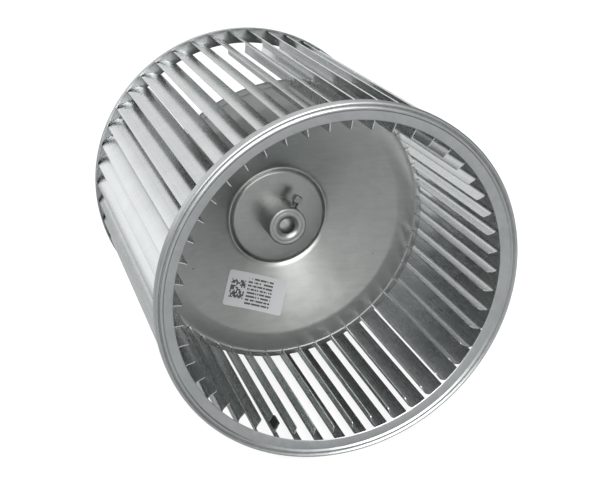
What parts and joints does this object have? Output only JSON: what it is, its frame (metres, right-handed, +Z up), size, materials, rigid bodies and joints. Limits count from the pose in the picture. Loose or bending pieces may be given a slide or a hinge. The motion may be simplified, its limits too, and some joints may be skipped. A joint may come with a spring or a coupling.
{
  "type": "blower motor wheel",
  "caption": "Double-inlet squirrel-cage blower wheel with forward-curved blades, beaded end rings, a dished centre disc and a bored hub with a set screw.",
  "frame": {"origin": "centre of the wheel: on the spin axis, half way between the two end rings", "axes": "the spin axis is Y and the hub faces -Y; +Z is up; +X is to the right when looking at the hub"},
  "size_m": [0.2698, 0.2698, 0.2698],
  "materials": {
    "ring_steel": "galvanised, satin",
    "blade_steel": "galvanised, bright",
    "disc_steel": "galvanised, satin",
    "hub_steel": "turned, zinc plated",
    "screw_steel": "plated, dull",
    "clip_steel": "blackened spring steel",
    "label_film": "silver-grey film"
  },
  "bodies": {
    "wheel": {"front_end_ring": "ring_steel", "rear_end_ring": "ring_steel", "centre_disc": "disc_steel", "hub": "hub_steel", "label": "label_film", "balance_clip": "clip_steel", "blade_01": "blade_steel", "blade_02": "blade_steel", "blade_03": "blade_steel", "blade_04": "blade_steel", "blade_05": "blade_steel", "blade_06": "blade_steel", "blade_07": "blade_steel", "blade_08": "blade_steel", "blade_09": "blade_steel", "blade_10": "blade_steel", "blade_11": "blade_steel", "blade_12": "blade_steel", "blade_13": "blade_steel", "blade_14": "blade_steel", "blade_15": "blade_steel", "blade_16": "blade_steel", "blade_17": "blade_steel", "blade_18": "blade_steel", "blade_19": "blade_steel", "blade_20": "blade_steel", "blade_21": "blade_steel", "blade_22": "blade_steel", "blade_23": "blade_steel", "blade_24": "blade_steel", "blade_25": "blade_steel", "blade_26": "blade_steel", "blade_27": "blade_steel", "blade_28": "blade_steel", "blade_29": "blade_steel", "blade_30": "blade_steel", "blade_31": "blade_steel", "blade_32": "blade_steel", "blade_33": "blade_steel", "blade_34": "blade_steel", "blade_35": "blade_steel", "blade_36": "blade_steel", "blade_37": "blade_steel", "blade_38": "blade_steel", "blade_39": "blade_steel", "blade_40": "blade_steel", "blade_41": "blade_steel", "blade_42": "blade_steel", "blade_43": "blade_steel", "blade_44": "blade_steel", "blade_45": "blade_steel", "blade_46": "blade_steel", "blade_47": "blade_steel", "blade_48": "blade_steel"},
    "set_screw": {"set_screw": "screw_steel"}
  },
  "joints": [
    {"name": "set_screw_travel", "type": "slide", "parent": "wheel", "child": "set_screw", "axis": [0.5, 0, 0.866], "range_m": [-0.0018, 0.006]}
  ]
}
